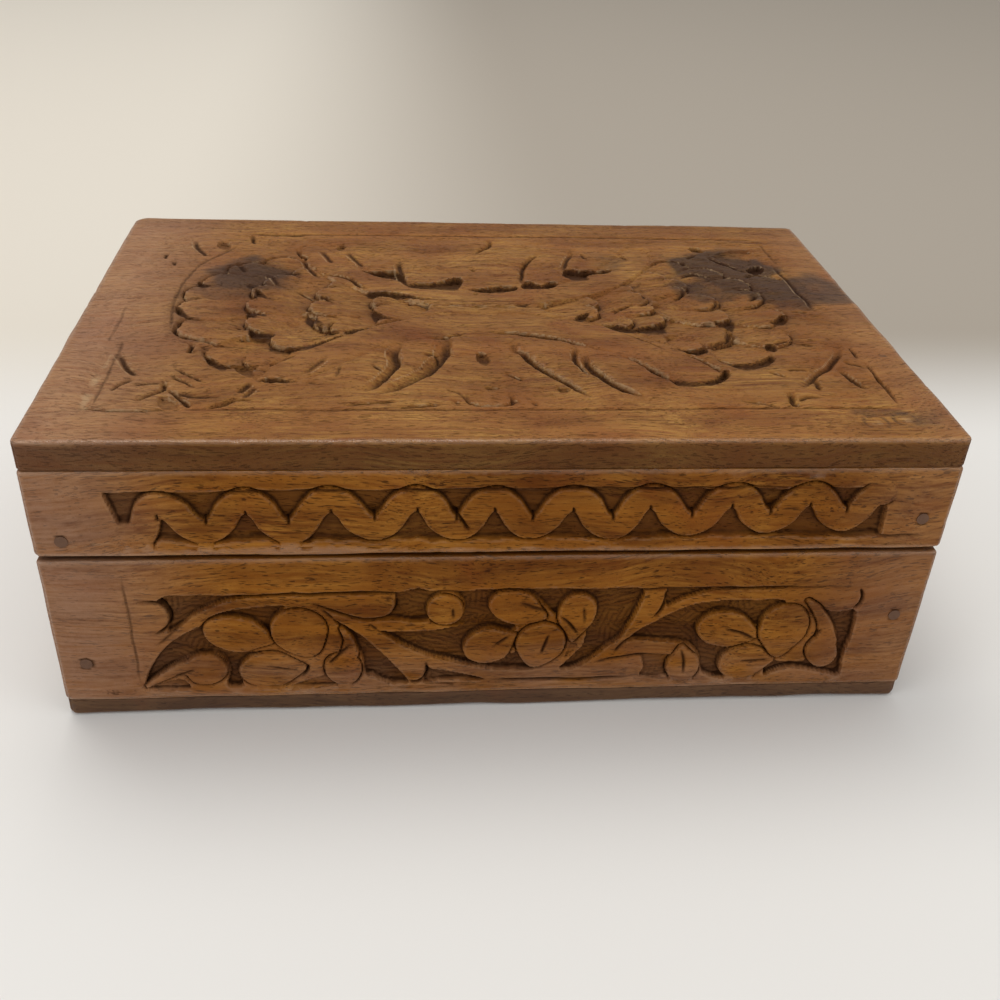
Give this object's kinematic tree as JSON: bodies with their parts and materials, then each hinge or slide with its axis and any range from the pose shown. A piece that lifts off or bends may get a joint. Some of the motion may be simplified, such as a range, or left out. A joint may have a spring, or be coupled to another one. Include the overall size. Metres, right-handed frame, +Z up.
{
  "type": "keepsake box",
  "caption": "Rectangular carved wooden keepsake box with a shallow hinged lid, nailed boards, two let-in brass butt hinges and a flat bottom board.",
  "frame": {"origin": "middle of the box's footprint, on the face it stands on", "axes": "+X to the right along the front, +Y to the hinged back, +Z up out of the lid"},
  "size_m": [0.152, 0.102, 0.056],
  "materials": {
    "panel_wood": "hand-carved hardwood with an old waxed finish, dusty recesses",
    "rail_wood": "hand-carved hardwood with an old waxed finish",
    "base_wood": "hand-carved hardwood with an old waxed finish, dark stippled ground",
    "bottom_wood": "plain sawn hardwood, darker and duller than the sides",
    "hinge_brass": "tarnished brass",
    "brass_screws": "tarnished brass",
    "iron_nails": "dark oxidised wire nails, heads flush with the wood"
  },
  "bodies": {
    "base": {"base_front_board": "base_wood", "base_back_board": "base_wood", "base_left_board": "base_wood", "base_right_board": "base_wood", "bottom_board": "bottom_wood", "base_corner_nails": "iron_nails", "bottom_nails": "iron_nails", "hinge_left_base_leaf": "hinge_brass", "hinge_left_pin": "hinge_brass", "hinge_left_base_screws": "brass_screws", "hinge_right_base_leaf": "hinge_brass", "hinge_right_pin": "hinge_brass", "hinge_right_base_screws": "brass_screws"},
    "lid": {"lid_panel": "panel_wood", "lid_front_rail": "rail_wood", "lid_back_rail": "rail_wood", "lid_left_rail": "rail_wood", "lid_right_rail": "rail_wood", "lid_corner_nails": "iron_nails", "hinge_left_lid_leaf": "hinge_brass", "hinge_left_lid_screws": "brass_screws", "hinge_right_lid_leaf": "hinge_brass", "hinge_right_lid_screws": "brass_screws"}
  },
  "joints": [
    {"name": "lid_hinge", "type": "hinge", "parent": "base", "child": "lid", "pos_m": [0, 0.0494, 0.034], "axis": [-1, 0, 0], "range_deg": [0, 105]}
  ]
}
